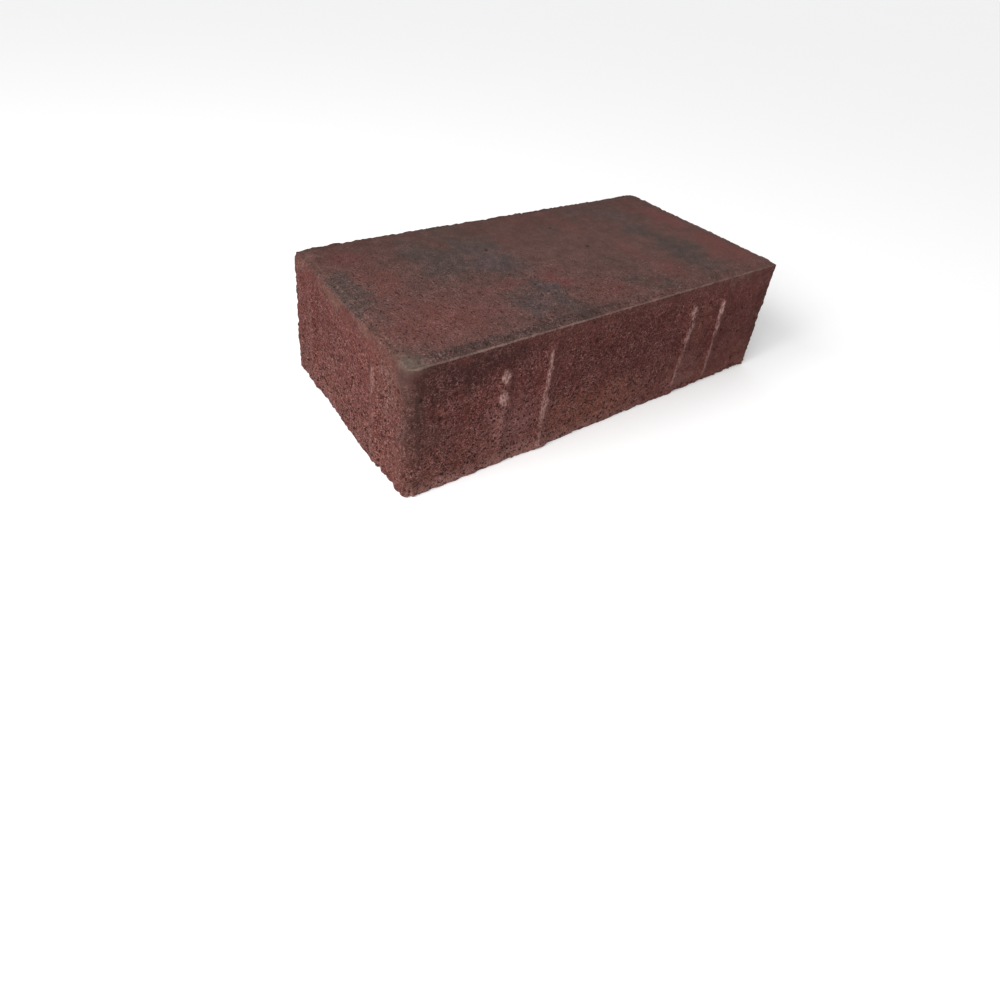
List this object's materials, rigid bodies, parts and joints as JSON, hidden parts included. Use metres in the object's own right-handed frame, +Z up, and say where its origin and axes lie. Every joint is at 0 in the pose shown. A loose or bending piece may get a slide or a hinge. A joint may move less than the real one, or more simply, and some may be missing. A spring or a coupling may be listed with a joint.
{
  "type": "concrete paving stone",
  "caption": "Rectangular vibrated-concrete paving stone with shallow upright spacer ribs on its sides, coloured red with charcoal clouding.",
  "frame": {"origin": "centre of the bed face, which rests on the ground", "axes": "+X along the length, +Y across the width, +Z up through the wearing face; the clearest long face of the picture looks along -Y and the visible head face along -X"},
  "size_m": [0.2, 0.1, 0.058],
  "materials": {
    "concrete": "matte"
  },
  "bodies": {
    "root": {"paving_stone": "concrete"}
  },
  "joints": []
}
